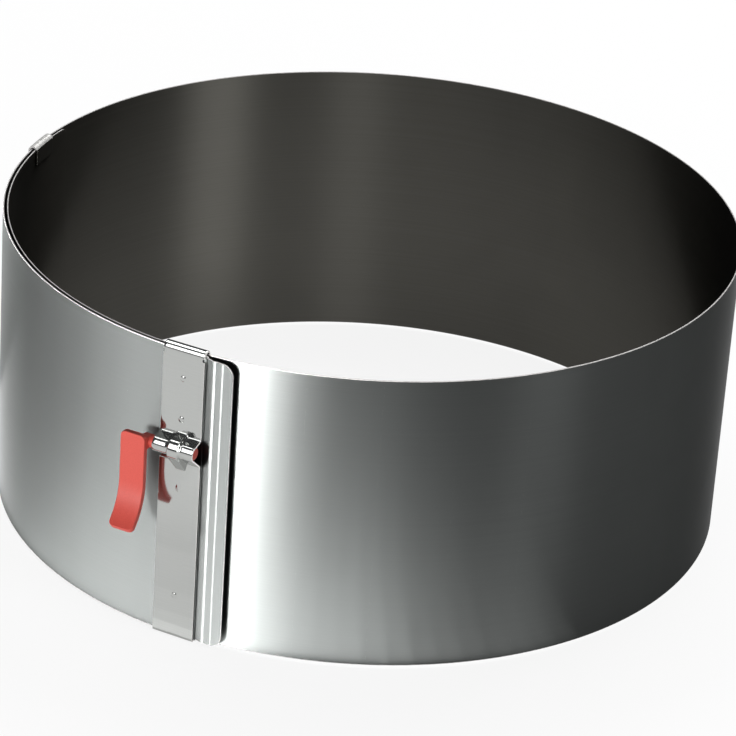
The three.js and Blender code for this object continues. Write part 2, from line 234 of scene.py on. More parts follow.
def makeLamps():
    for name, settings in lamps.items():
        lamp = makeLamp(name, *settings)
        if name in lightsOnly:
            lamp.light_linking.receiver_collection = lit[lightsOnly[name]]
    azimuths = panels["azimuths"]
    for i, (azimuth, radiance) in enumerate(zip(azimuths, panels["radiances"])):
        gap = azimuths[min(i + 1, len(azimuths) - 1)] - azimuths[min(i, len(azimuths) - 2)]
        width = panels["distance"] * math.radians(gap) * panels["overlap"]
        lamp = makeLamp(
            f"lowPanel{i + 1:02d}", azimuth, panels["elevation"], panels["distance"],
            width, panels["height"], radiance,
        )
        lamp.visible_diffuse = False
        lamp.light_linking.receiver_collection = lit["polishedStrip"]
    azimuths, step = floorPanels["azimuths"], floorPanels["step"]
    width = (floorPanels["near"] + floorPanels["far"]) / 2 * math.radians(step)
    for azimuth in range(azimuths[0], azimuths[-1] + 1, step):
        i, share = shareOf(azimuths, azimuth)
        here, ahead = floorPanels["radiances"][i:i + 2]
        makeFloorPanel(
            f"floorPanel{azimuth - azimuths[0]:03d}", azimuth, floorPanels["far"],
            width, here + (ahead - here) * share, "polishedStrip",
        )
    for i, far in enumerate(floorPanels["beforePlate"]):
        makeFloorPanel(
            f"platePanel{i + 1}", -view["azimuth"], far, floorPanels["plateWidth"],
            floorPanels["plateRadiance"], "brightSheet",
        )


makeStage()
makeLamps()
print("stage and lamps placed")


# Effects that several finishes share are node groups, each placed with its own values.
def newGroup(name, inputs, outputs):
    group = bpy.data.node_groups.new(name, "ShaderNodeTree")
    for label, kind, value in inputs:
        made = group.interface.new_socket(name=label, in_out="INPUT", socket_type=kind)
        if value is not None:
            made.default_value = value
    for label in outputs:
        group.interface.new_socket(name=label, in_out="OUTPUT", socket_type="NodeSocketFloat")
    return group, node(group, "NodeGroupInput"), node(group, "NodeGroupOutput")


def spread(tree, source, low, high, toLow=0.0, toHigh=1.0):
    made = node(tree, "ShaderNodeMapRange", interpolation_type="SMOOTHSTEP")
    made.inputs["From Min"].default_value = low
    made.inputs["From Max"].default_value = high
    made.inputs["To Min"].default_value = toLow
    made.inputs["To Max"].default_value = toHigh
    tree.links.new(source, made.inputs["Value"])
    return made.outputs["Result"]


# Long lines that the rolling mill leaves along the sheet, read from its flat coordinates.
def makeRollingGrain():
    group, given, result = newGroup(
        "rollingGrain",
        [("Flat", "NodeSocketVector", None), ("Along", "NodeSocketFloat", 9.0),
         ("Across", "NodeSocketFloat", 2400.0)],
        ["Grain"],
    )
    link = group.links.new
    scale = node(group, "ShaderNodeCombineXYZ")
    stretched = node(group, "ShaderNodeVectorMath", operation="MULTIPLY")
    noise = node(group, "ShaderNodeTexNoise")
    noise.inputs["Scale"].default_value = 1.0
    noise.inputs["Detail"].default_value = 3.0
    link(given.outputs["Along"], scale.inputs["X"])
    link(given.outputs["Across"], scale.inputs["Y"])
    link(given.outputs["Flat"], stretched.inputs[0])
    link(scale.outputs[0], stretched.inputs[1])
    link(stretched.outputs[0], noise.inputs["Vector"])
    link(spread(group, noise.outputs["Fac"], 0.3, 0.7), result.inputs["Grain"])
    return group


# Soft smears and a few hairline scratches from washing and handling.
def makeHandling():
    group, given, result = newGroup(
        "handlingMarks",
        [("Place", "NodeSocketVector", None), ("Smear Scale", "NodeSocketFloat", 38.0),
         ("Scratch Scale", "NodeSocketFloat", 70.0)],
        ["Smear", "Scratch"],
    )
    link = group.links.new
    smear = node(group, "ShaderNodeTexNoise")
    smear.inputs["Detail"].default_value = 3.0
    smear.inputs["Distortion"].default_value = 0.6
    link(given.outputs["Place"], smear.inputs["Vector"])
    link(given.outputs["Smear Scale"], smear.inputs["Scale"])
    link(spread(group, smear.outputs["Fac"], 0.42, 0.72), result.inputs["Smear"])

    line = node(group, "ShaderNodeTexNoise")
    line.inputs["Detail"].default_value = 0.0
    line.inputs["Distortion"].default_value = 1.4
    fromMiddle = node(group, "ShaderNodeMath", operation="SUBTRACT")
    fromMiddle.inputs[1].default_value = 0.5
    away = node(group, "ShaderNodeMath", operation="ABSOLUTE")
    patch = node(group, "ShaderNodeTexNoise")
    patch.inputs["Scale"].default_value = 55.0
    patch.inputs["Detail"].default_value = 0.0
    both = node(group, "ShaderNodeMath", operation="MULTIPLY")
    link(given.outputs["Place"], line.inputs["Vector"])
    link(given.outputs["Scratch Scale"], line.inputs["Scale"])
    link(given.outputs["Place"], patch.inputs["Vector"])
    link(line.outputs["Fac"], fromMiddle.inputs[0])
    link(fromMiddle.outputs[0], away.inputs[0])
    link(spread(group, away.outputs[0], 0.0, 0.005, 1.0, 0.0), both.inputs[0])
    link(spread(group, patch.outputs["Fac"], 0.58, 0.68), both.inputs[1])
    link(both.outputs[0], result.inputs["Scratch"])
    return group


# The faint waviness of pressed sheet and the fine skin of moulded plastic.
def makeSurfaceWave():
    group, given, result = newGroup(
        "surfaceWave",
        [("Place", "NodeSocketVector", None), ("Wave Scale", "NodeSocketFloat", 260.0),
         ("Skin Scale", "NodeSocketFloat", 2600.0), ("Skin Share", "NodeSocketFloat", 0.2)],
        ["Height", "Skin"],
    )
    link = group.links.new
    wave = node(group, "ShaderNodeTexNoise")
    wave.inputs["Detail"].default_value = 0.0
    skin = node(group, "ShaderNodeTexNoise")
    skin.inputs["Detail"].default_value = 2.0
    finer = node(group, "ShaderNodeMath", operation="MULTIPLY")
    height = node(group, "ShaderNodeMath", operation="ADD")
    for noise, scale in ((wave, "Wave Scale"), (skin, "Skin Scale")):
        link(given.outputs["Place"], noise.inputs["Vector"])
        link(given.outputs[scale], noise.inputs["Scale"])
    link(skin.outputs["Fac"], finer.inputs[0])
    link(given.outputs["Skin Share"], finer.inputs[1])
    link(wave.outputs["Fac"], height.inputs[0])
    link(finer.outputs[0], height.inputs[1])
    link(height.outputs[0], result.inputs["Height"])
    link(spread(group, skin.outputs["Fac"], 0.3, 0.7), result.inputs["Skin"])
    return group


rollingGrain, handlingMarks, surfaceWave = makeRollingGrain(), makeHandling(), makeSurfaceWave()

# Colour and roughness run from the first value to the second with the rolled grain, or with the
# moulded skin. Smears and scratches add to the roughness, and the bump's height is in metres.
finishes = {
    # The strip is one steel with the plate, but its two faces carry painted shade. Both are set
    # far darker than the plate, the outer face darkest and the inner face lighter and warmer,
    # each to match how that face is lit.
    "outerFace": {
        "dark": (0.060, 0.063, 0.0615), "light": (0.064, 0.067, 0.0655), "metallic": 1,
        "roughness": (0.35, 0.365), "smear": 0.015, "scratch": 0.02, "anisotropic": 0.95,
        "along": 7, "across": 2400, "wave": 120, "skin": 0.0, "bump": 0.000002,
    },
    "innerFace": {
        "dark": (0.120, 0.116, 0.104), "light": (0.129, 0.125, 0.1125), "metallic": 1,
        "roughness": (0.345, 0.365), "smear": 0.02, "scratch": 0.02, "anisotropic": 0.95,
        "along": 7, "across": 1800, "wave": 120, "skin": 0.0, "bump": 0.000002,
    },
    # The cut edges are lighter, rougher and half metallic: partly the real matte cut, partly a
    # painted highlight that brightens the rim lines and the plate's edge.
    "cutEdge": {
        "dark": (0.50, 0.485, 0.475), "light": (0.65, 0.635, 0.625), "metallic": 0.3,
        "roughness": (0.42, 0.6), "smear": 0.05, "scratch": 0.0, "anisotropic": 0,
        "along": 900, "across": 2400, "wave": 900, "skin": 0.5, "bump": 0.000006,
    },
    "plate": {
        "dark": (0.525, 0.535, 0.52), "light": (0.54, 0.55, 0.535), "metallic": 1,
        "roughness": (0.075, 0.085), "smear": 0.03, "scratch": 0.03, "anisotropic": 0,
        "along": 30, "across": 2200, "wave": 150, "skin": 0.01, "bump": 0.00002,
    },
    "clip": {
        "dark": (0.46, 0.455, 0.44), "light": (0.66, 0.65, 0.635), "metallic": 0.5,
        "roughness": (0.32, 0.46), "smear": 0.04, "scratch": 0.05, "anisotropic": 0,
        "along": 1700, "across": 40, "wave": 300, "skin": 0.1, "bump": 0.000012,
    },
    "lever": {
        "dark": (0.53, 0.068, 0.05), "light": (0.575, 0.08, 0.06), "metallic": 0,
        "roughness": (0.40, 0.5), "smear": 0.08, "scratch": 0.1, "anisotropic": 0,
        "wave": 150, "skin": 0.35, "bump": 0.00003,
    },
}
sheen = {
    "scratchDepth": -0.25,  # against the surface wave
    "plasticSpecular": 0.35,
    "stripTint": (0.45, 0.45, 0.45, 1),
    "grainTurn": 0.25,  # highlights stand upright, across the rolled lines
}


def makeFinish(name, finish):
    material = bpy.data.materials.new(name)
    material.use_nodes = True
    tree = material.node_tree
    link = tree.links.new
    shader = tree.nodes["Principled BSDF"]
    shader.inputs["Metallic"].default_value = finish["metallic"]
    place = node(tree, "ShaderNodeTexCoord")

    marks = node(tree, "ShaderNodeGroup", node_tree=handlingMarks)
    link(place.outputs["Object"], marks.inputs["Place"])
    wave = node(tree, "ShaderNodeGroup", node_tree=surfaceWave)
    wave.inputs["Wave Scale"].default_value = finish["wave"]
    wave.inputs["Skin Share"].default_value = finish["skin"]
    link(place.outputs["Object"], wave.inputs["Place"])
    if "along" in finish:
        grain = node(tree, "ShaderNodeGroup", node_tree=rollingGrain)
        grain.inputs["Along"].default_value = finish["along"]
        grain.inputs["Across"].default_value = finish["across"]
        link(place.outputs["UV"], grain.inputs["Flat"])
        fine = grain.outputs["Grain"]
    else:
        fine = wave.outputs["Skin"]

    colour = node(tree, "ShaderNodeMix", data_type="RGBA")
    colour.inputs["A"].default_value = (*finish["dark"], 1)
    colour.inputs["B"].default_value = (*finish["light"], 1)
    link(fine, colour.inputs["Factor"])
    link(colour.outputs["Result"], shader.inputs["Base Color"])

    low, high = finish["roughness"]
    rough = spread(tree, fine, 0.0, 1.0, low, high)
    for label, amount in (("Smear", finish["smear"]), ("Scratch", finish["scratch"])):
        more = node(tree, "ShaderNodeMath", operation="MULTIPLY_ADD")
        more.inputs[1].default_value = amount
        link(marks.outputs[label], more.inputs[0])
        link(rough, more.inputs[2])
        rough = more.outputs[0]
    link(rough, shader.inputs["Roughness"])

    relief = node(tree, "ShaderNodeMath", operation="MULTIPLY_ADD")
    relief.inputs[1].default_value = sheen["scratchDepth"]
    link(marks.outputs["Scratch"], relief.inputs[0])
    link(wave.outputs["Height"], relief.inputs[2])
    bump = node(tree, "ShaderNodeBump")
    bump.inputs["Distance"].default_value = finish["bump"]
    link(relief.outputs[0], bump.inputs["Height"])
    link(bump.outputs["Normal"], shader.inputs["Normal"])
    if not finish["metallic"]:
        shader.inputs["Specular IOR Level"].default_value = sheen["plasticSpecular"]
    if finish["anisotropic"]:
        shader.inputs["Specular Tint"].default_value = sheen["stripTint"]
        shader.inputs["Anisotropic"].default_value = finish["anisotropic"]
        shader.inputs["Anisotropic Rotation"].default_value = sheen["grainTurn"]
        tangent = node(tree, "ShaderNodeTangent", direction_type="UV_MAP", uv_map="sheet")
        link(tangent.outputs[0], shader.inputs["Tangent"])
    return material


outerSteel = makeFinish("outerFaceSteel", finishes["outerFace"])
innerSteel = makeFinish("innerFaceSteel", finishes["innerFace"])
edgeSteel = makeFinish("cutEdgeSteel", finishes["cutEdge"])
plateSteel = makeFinish("pressedPlateSteel", finishes["plate"])
clipSteel = makeFinish("foldedClipSteel", finishes["clip"])
redPlastic = makeFinish("mouldedRedPlastic", finishes["lever"])
stripFinishes = [outerSteel, innerSteel, edgeSteel]
litAs = {  # a piece's first material says which lamps light it
    outerSteel: "polishedStrip", plateSteel: "brightSheet",
    clipSteel: "brightSheet", redPlastic: "redLever",
}
print("finishes made")


# Sheet metal starts as a flat blank, which is sliced across its folds and then bent. Pieces are
# made in millimetres in a frame at the clamp, with x along the strip, clockwise from above, y
# outward from the middle of the outer layer and z up from the strip's lower rim.
# The translation is the place, in millimetres, where the CAD has that frame's origin.
clampPlace = Matrix.Translation((0.57658, -115.74482, 0.8)) @ Matrix.Rotation(math.pi, 4, "Z")
toWorld = Matrix.Scale(millimetre, 4) @ clampPlace

tolerance = {"level": 1e-6, "slice": 1e-5, "double": 1e-4}  # millimetres
facets = {  # how many parts each curve has
    "corner": 8, "cutEdge": 3, "plateEdge": 2, "rim": 4, "fold": 6, "windowCorner": 6,
    "notch": 24, "barrel": 28, "flare": 24, "hub": 24, "shaft": 48, "shaftDome": 8,
    "cam": 32, "camNose": 12,
}
sharpFold = 60  # degrees


def worldPoint(x, y, z):
    return toWorld @ Vector((x, y, z))


def roundOff(bm, geom, radius, segments, affect="EDGES", measure="OFFSET"):
    bmesh.ops.bevel(
        bm, geom=geom, affect=affect, offset=radius, offset_type=measure,
        segments=segments, profile=0.5, material=-1,
    )


def thicken(bm, by):
    made = bmesh.ops.extrude_face_region(bm, geom=bm.faces[:])
    moved = [v for v in made["geom"] if isinstance(v, bmesh.types.BMVert)]
    bmesh.ops.translate(bm, verts=moved, vec=by)
    bmesh.ops.recalc_face_normals(bm, faces=bm.faces[:])


def edgeSpan(edge, axis):
    return abs(edge.verts[0].co[axis] - edge.verts[1].co[axis])


def edgesAcross(bm, axis):
    return [edge for edge in bm.edges if edgeSpan(edge, axis) < tolerance["level"]]


def flatBlank(outline, thickness, cornerRadii, edgeRound):
    bm = bmesh.new()
    corners = [bm.verts.new((u, -thickness / 2, v)) for u, v in outline]
    bm.faces.new(corners)
    for corner, radius in zip(corners, cornerRadii):
        if radius:
            roundOff(bm, [corner], radius, facets["corner"], affect="VERTICES")
    thicken(bm, (0, thickness, 0))
    roundOff(bm, edgesAcross(bm, 1), edgeRound, facets["cutEdge"], measure="WIDTH")
    return bm


def sliceAt(bm, stations, direction):
    for station in stations:
        bmesh.ops.bisect_plane(
            bm, geom=bm.verts[:] + bm.edges[:] + bm.faces[:], dist=tolerance["slice"],
            plane_co=Vector(direction) * station, plane_no=direction,
        )


# Material 0 is the outer face, and the inner face and the cut edges take the numbers given. A
# band along both rims also takes the cut edges' finish: partly the real deburred rim, partly a
# painted highlight of the bright rim lines.
def setUv(bm, inner=1, edge=2, rimHighlightBand=None, edgeBelow=0.95):
    layer = bm.loops.layers.uv.new("sheet")
    for face in bm.faces:
        middle = face.calc_center_median()
        if abs(face.normal.y) < edgeBelow:
            face.material_index = edge
        elif rimHighlightBand and not rimHighlightBand < middle.z < strip["height"] - rimHighlightBand:
            face.material_index = edge
        else:
            face.material_index = inner if face.normal.y < 0 else 0
        for loop in face.loops:
            loop[layer].uv = (loop.vert.co.x * millimetre, loop.vert.co.z * millimetre)


def finishPiece(bm, name, materials, sharpAbove=sharpFold):
    bm.transform(toWorld)
    for face in bm.faces:
        face.smooth = True
    for edge in bm.edges:
        if edge.is_manifold and edge.calc_face_angle(0) > math.radians(sharpAbove):
            edge.smooth = False
    piece = meshObject(bm, name)
    for material in materials:
        piece.data.materials.append(material)
    lit[litAs[materials[0]]].objects.link(piece)
    weighted = piece.modifiers.new("evenNormals", "WEIGHTED_NORMAL")
    weighted.keep_sharp = True
    weighted.weight = 100
    return piece


strip = {
    "height": 100,
    "thickness": 0.4,
    "radius": 121.8,
    "pitch": 1.35,
    "overlap": 190,
    "arcs": 40,
    "clamped": 19,
    "tail": 30,
    "column": 0.45,  # length of one column of faces
    "rimHighlightBand": 0.25,  # partly deburred, partly a painted highlight: the bright cut-edge finish along both rims
    "rimRound": 0.196,  # just under half the thickness
    "endRound": 0.12,  # of the edges of the grip and the tail
    "seamUnderPlate": 6.6,  # along the strip, where the grip ends and the first section starts
    "seamInTail": 9.2,  # the same in the tail, from its start
    "seamOverlap": 0.4,
    "firstBend": 7.5,  # along the strip, near the first section's start; the script works out its point but does nothing with it
    "lastBend": 8.1,  # near the last section's end, from the tail's start; also worked out but not used
    "endGap": 0.075,
    "tailCorner": 3,
}
fullLength = 2 * math.pi * (strip["radius"] - strip["pitch"] / 2) + strip["overlap"]
arcLength = (fullLength - strip["clamped"] / 2 - strip["tail"]) / (strip["arcs"] - 1)


def stripArcs():
    arcs = []
    turned = strip["clamped"] / 2 / strip["radius"]
    place = Vector((math.sin(turned), math.cos(turned) - 1)) * strip["radius"]
    along = strip["clamped"] / 2
    for k in range(1, strip["arcs"] + 1):
        radius = strip["radius"] - strip["pitch"] * turned / (2 * math.pi)
        length = arcLength if k < strip["arcs"] else strip["tail"]
        arcs.append({"from": along, "turned": turned, "radius": radius, "place": place.copy()})
        angle = length / radius
        step = Vector((math.sin(angle), math.cos(angle) - 1)) * radius
        step.rotate(Matrix.Rotation(-turned, 2))
        place += step
        turned += angle
        along += length
    return arcs


arcs = stripArcs()


# A place on an arc that starts at the origin and runs along x.
def onArc(along, outward, radius):
    angle, reach = along / radius, radius + outward
    return Vector((math.sin(angle) * reach, math.cos(angle) * reach - radius))


def onStrip(along, outward):
    if along <= arcs[0]["from"]:
        return onArc(along, outward, strip["radius"])
    arc = [a for a in arcs if a["from"] <= along][-1]
    local = onArc(along - arc["from"], outward, arc["radius"])
    local.rotate(Matrix.Rotation(-arc["turned"], 2))
    return arc["place"] + local


def rollOnStrip(bm):
    for vert in bm.verts:
        x, y = onStrip(vert.co.x, vert.co.y)
        vert.co.x, vert.co.y = x, y


def stripPiece(name, start, end):
    columns = max(2, round((end - start) / strip["column"]))
    half = strip["thickness"] / 2
    bm = bmesh.new()
    band, height = strip["rimHighlightBand"], strip["height"]
    section = [bm.verts.new((start, y, z)) for y, z in (
        (-half, 0), (half, 0), (half, band), (half, height - band),
        (half, height), (-half, height), (-half, height - band), (-half, band),
    )]
    bm.faces.new(section)
    corners = section[:2] + section[4:6]
    roundOff(bm, corners, strip["rimRound"], facets["rim"], affect="VERTICES")
    bmesh.ops.spin(
        bm, geom=bm.faces[:], cent=(0, 0, 0), axis=(0, 0, 1),
        dvec=((end - start) / columns, 0, 0), angle=0, steps=columns,
    )
    bmesh.ops.recalc_face_normals(bm, faces=bm.faces[:])
    setUv(bm, rimHighlightBand=strip["rimHighlightBand"])
    rollOnStrip(bm)
    return finishPiece(bm, name, stripFinishes)


def makeStrip():
    middles = [a["from"] + arcLength / 2 for a in arcs[:-1]]
    starts = [strip["seamUnderPlate"] - strip["seamOverlap"]] + middles
    ends = middles + [arcs[-1]["from"] + strip["seamInTail"] + strip["seamOverlap"]]
    for k in range(strip["arcs"]):
        piece = stripPiece(f"strip_section_{k + 1:02d}", starts[k], ends[k])
        last = k == strip["arcs"] - 1
        bendStart = starts[k] if k else strip["firstBend"]
        bendEnd = arcs[-1]["from"] + strip["lastBend"] if last else ends[k]
        middleHeight = strip["height"] / 2
        worldPoint(*onStrip(bendStart, 0), middleHeight)
        worldPoint(*onStrip(bendEnd, 0), middleHeight)
        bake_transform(piece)
        if not last:
            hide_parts(f"band_arc_{k + 1:02d}")


def makeTail():
    start = arcs[-1]["from"] + strip["seamInTail"]
    end = arcs[-1]["from"] + strip["tail"] - strip["endGap"]
    outline = [(start, 0), (end, 0), (end, strip["height"]), (start, strip["height"])]
    corner = strip["tailCorner"]
    bm = flatBlank(outline, strip["thickness"], (0, corner, corner, 0), strip["endRound"])
    count = round((end - start) / strip["column"])
    sliceAt(bm, [start + (end - start) * i / count for i in range(1, count)], (1, 0, 0))
    setUv(bm)
    rollOnStrip(bm)
    piece = finishPiece(bm, "strip_tail", stripFinishes)
    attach(piece, "tail")
    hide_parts("band_tail")


makeStrip()
makeTail()
print("strip rolled:", len(arcs), "bends")


# A path through corners, each rounded by its radius.
def roundedPath(corners, radii, steps=facets["fold"]):
    corners = [Vector(c) for c in corners]
    path = [corners[0]]
    for before, corner, after, radius in zip(corners, corners[1:], corners[2:], radii):
        if not radius:
            path.append(corner)
            continue
        back, ahead = (before - corner).normalized(), (after - corner).normalized()
        half = back.angle(ahead) / 2
        centre = corner + (back + ahead).normalized() * (radius / math.sin(half))
        arm = corner + back * (radius / math.tan(half)) - centre
        turn = (math.pi - 2 * half) * (-1 if back.cross(ahead) > 0 else 1)
        path += [centre + Matrix.Rotation(turn * i / steps, 2) @ arm for i in range(steps + 1)]
    return path + [corners[-1]]


# The path with the length up to each point and the mitred normal there.
def measured(path):
    lengths = [0.0]
    for a, b in zip(path, path[1:]):
        lengths.append(lengths[-1] + (b - a).length)
    normals = []
    for i, point in enumerate(path):
        back = (point - path[i - 1]).normalized() if i else (path[1] - point).normalized()
        ahead = (path[i + 1] - point).normalized() if i + 1 < len(path) else back
        along = (back + ahead).normalized()
        normals.append(Vector((-along.y, along.x)) / along.dot(back))
    return {"points": path, "lengths": lengths, "normals": normals}


def onPath(path, place, offset):
    i, share = place
    point = path["points"][i].lerp(path["points"][i + 1], share)
    return point + path["normals"][i].lerp(path["normals"][i + 1], share) * offset


leastStep = 0.02  # between two cuts of a blank


# Where to cut a blank: at each given length, evenly between them, and finer over some stretches.
def stationsOn(lengths, step, fine=()):
    stations = set()
    for a, b in zip(lengths, lengths[1:]):
        count = max(1, math.ceil((b - a) / step))
        stations.update(a + (b - a) * i / count for i in range(count + 1))
    for start, end, spacing in fine:
        count = math.ceil((end - start) / spacing)
        stations.update(start + (end - start) * i / count for i in range(count + 1))
    ordered = []
    for station in sorted(stations):
        if not ordered or station - ordered[-1] > leastStep:
            ordered.append(station)
    return ordered


def arcPoints(centre, radius, start, sweep, steps):
    points = []
    for i in range(steps + 1):
        angle = start + sweep * i / steps
        points.append((
            centre[0] + radius * math.cos(angle), centre[1] + radius * math.sin(angle),
        ))
    return points


def griddedBlank(across, along, thickness, edgeRound):
    bm = bmesh.new()
    columns, rows = len(across) - 1, len(along) - 1
    bmesh.ops.create_grid(bm, x_segments=columns, y_segments=rows, size=1)
    for vert in bm.verts:
        i = round((vert.co.x + 1) / 2 * columns)
        j = round((vert.co.y + 1) / 2 * rows)
        vert.co = (across[i], -thickness / 2, along[j])
    thicken(bm, (0, thickness, 0))
    rims = [e for e in bm.edges if e.calc_face_angle(0) > math.radians(sharpFold)]
    roundOff(bm, rims, edgeRound, facets["plateEdge"])
    return bm


def boolean(piece, cutter, operation):
    bpy.context.view_layer.update()
    step = piece.modifiers.new("shaping", "BOOLEAN")
    step.operation, step.object, step.solver = operation, cutter, "EXACT"
    shaped = piece.evaluated_get(bpy.context.evaluated_depsgraph_get())
    mesh = bpy.data.meshes.new_from_object(shaped)
    piece.modifiers.remove(step)
    piece.data = mesh
    bpy.data.objects.remove(cutter)


# The strip's outer end is stepped into a grip, with a window for the cam.
grip = {
    "edge": (-17.3, 0.74),  # free edge, then the folds towards the plate's edge
    "plateEdge": 7.4,
    "folds": ((-13.75, 0.61), (-13.35, 0.70), (-11.05, 0.60), (-10.2, 0.77)),
    "foldRadii": (0.4, 0.4, 0.8, 1.6, 0.8),
    "corner": 4.0,
    "edgeDrop": 0.5,
    "stepped": 0.5,  # past the plate's edge, from where on it is lower than the rims
    "heldStep": 0.5,
    "heldPoints": 28,
    "rowStep": 0.6,
    "windowSides": (-2.15, 1.45),
    "windowHeights": (64.5, 69.4),
    "windowCorner": 0.8,
    "windowDepth": 4,
}


def makeGrip():
    held = [
        onStrip(strip["seamUnderPlate"] - i * grip["heldStep"], 0)
        for i in range(grip["heldPoints"])
    ]
    start, foot = Vector(grip["edge"]), Vector(grip["folds"][0])
    plateEdge = onStrip(-grip["plateEdge"], 0)
    corners = [start, start.lerp(foot, 0.5), *grip["folds"], plateEdge] + held[::-1]
    path = measured(roundedPath(corners, [0, *grip["foldRadii"]] + [0] * (len(held) - 1)))
    total = path["lengths"][-1]
    gripEnd = total - strip["seamUnderPlate"] - grip["plateEdge"] - grip["stepped"]
    drop, height = grip["edgeDrop"], strip["height"]
    outline = [
        (0, drop), (gripEnd, drop), (gripEnd, 0), (total, 0),
        (total, height), (gripEnd, height), (gripEnd, height - drop), (0, height - drop),
    ]
    corner = grip["corner"]
    radii = (corner, 0, 0, 0, 0, 0, 0, corner)
    bm = flatBlank(outline, strip["thickness"], radii, strip["endRound"])
    sliceAt(bm, stationsOn(path["lengths"], grip["rowStep"])[1:-1], (1, 0, 0))
    setUv(bm)
    for vert in bm.verts:
        vert.co.xy = onPath(path, shareOf(path["lengths"], vert.co.x), vert.co.y)
    piece = finishPiece(bm, "strip_grip", stripFinishes)
    cutter = bmesh.new()
    bmesh.ops.create_cube(cutter, size=1)
    left, right = grip["windowSides"]
    low, high = grip["windowHeights"]
    size = (right - left, grip["windowDepth"], high - low)
    bmesh.ops.scale(cutter, vec=size, verts=cutter.verts[:])
    through = [edge for edge in cutter.edges if edgeSpan(edge, 1) > tolerance["level"]]
    roundOff(cutter, through, grip["windowCorner"], facets["windowCorner"])
    middle = ((left + right) / 2, 0, (low + high) / 2)
    bmesh.ops.translate(cutter, verts=cutter.verts[:], vec=middle)
    cutter.transform(toWorld)
    boolean(piece, meshObject(cutter, "windowCutter"), "DIFFERENCE")
    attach(piece, "clamp")
    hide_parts("band_grip_end")


plate = {
    "sides": (-7.0, 7.4),
    "thickness": 0.55,
    "middle": 0.525,  # of its face, from the middle of the strip
    "hookDepth": 2.15,
    "hookLeg": 6,
    "foldRadius": 1.45,
    "backRadius": 0.6,
    "hemRadius": 0.35,
    "topRoom": 0.5,
    "bottomRoom": 0.25,
    "edgeRound": 0.1,
    "edgeBelow": 0.6,  # share of a face's normal across the sheet, below which it's a cut edge
    "axisHeight": 67.5,
    "axisStandoff": 3.2,
    "footRadius": 0.8,
    "tube": {"radius": 2.7, "skirt": 5.6, "shelf": 3.4},
    "bulge": {"radius": 3.7, "skirt": 8.3, "shelf": 4.3},
    "bulgeMiddle": -0.35,
    "bulgeHalf": 1.65,
    "bulgeSlope": 0.75,
    "pipHeights": (14.3, 52.5, 76.5, 90.5),
    "pipRadius": 1.0,
    "pipRise": 0.35,
    "pipRows": (3.6, 2.2, 0.25),  # finer rows start so far below a pip, end so far above it
    "faceReach": 0.3,  # from the face's middle to both its sides
    "notchRadius": 0.6,
    "notchDepth": 1.2,
    "columnStep": 0.9,
    "bulgeStep": 0.2,
    "rowStep": 1.2,
}


# The plate's section, with the barrel or its bulge pressed out.
def platePath(press):
    thick = plate["thickness"]
    leg = -plate["hookDepth"] - thick / 2
    roof = strip["height"] + plate["topRoom"] + thick / 2
    ground = -plate["bottomRoom"] - thick / 2
    face = plate["middle"]
    axis = Vector((plate["axisStandoff"], plate["axisHeight"]))
    radius = press["radius"] - thick / 2
    skirt = Vector((face, plate["axisHeight"] - press["skirt"]))
    shelf = Vector((face, plate["axisHeight"] + press["shelf"]))

    def touch(foot, side):
        arm = foot - axis
        return math.atan2(arm.y, arm.x) + side * math.acos(radius / arm.length)

    first, last = touch(skirt, 1), touch(shelf, -1)
    wrap = arcPoints(axis, radius, first, last - first, facets["barrel"])
    corners = [
        (leg, ground + plate["hookLeg"]), (leg, ground), (face, ground), skirt,
        *wrap, shelf, (face, roof), (leg, roof), (leg, roof - plate["hookLeg"]),
    ]
    hem, foot = plate["hemRadius"] + thick / 2, plate["footRadius"]
    fold, back = plate["foldRadius"] + thick / 2, plate["backRadius"] + thick / 2
    radii = [hem, hem, foot] + [0] * len(wrap) + [foot, fold, back]
    return measured(roundedPath(corners, radii))


def smoothRise(value, start, end):
    share = min(1, max(0, (value - start) / (end - start)))
    return share * share * (3 - 2 * share)


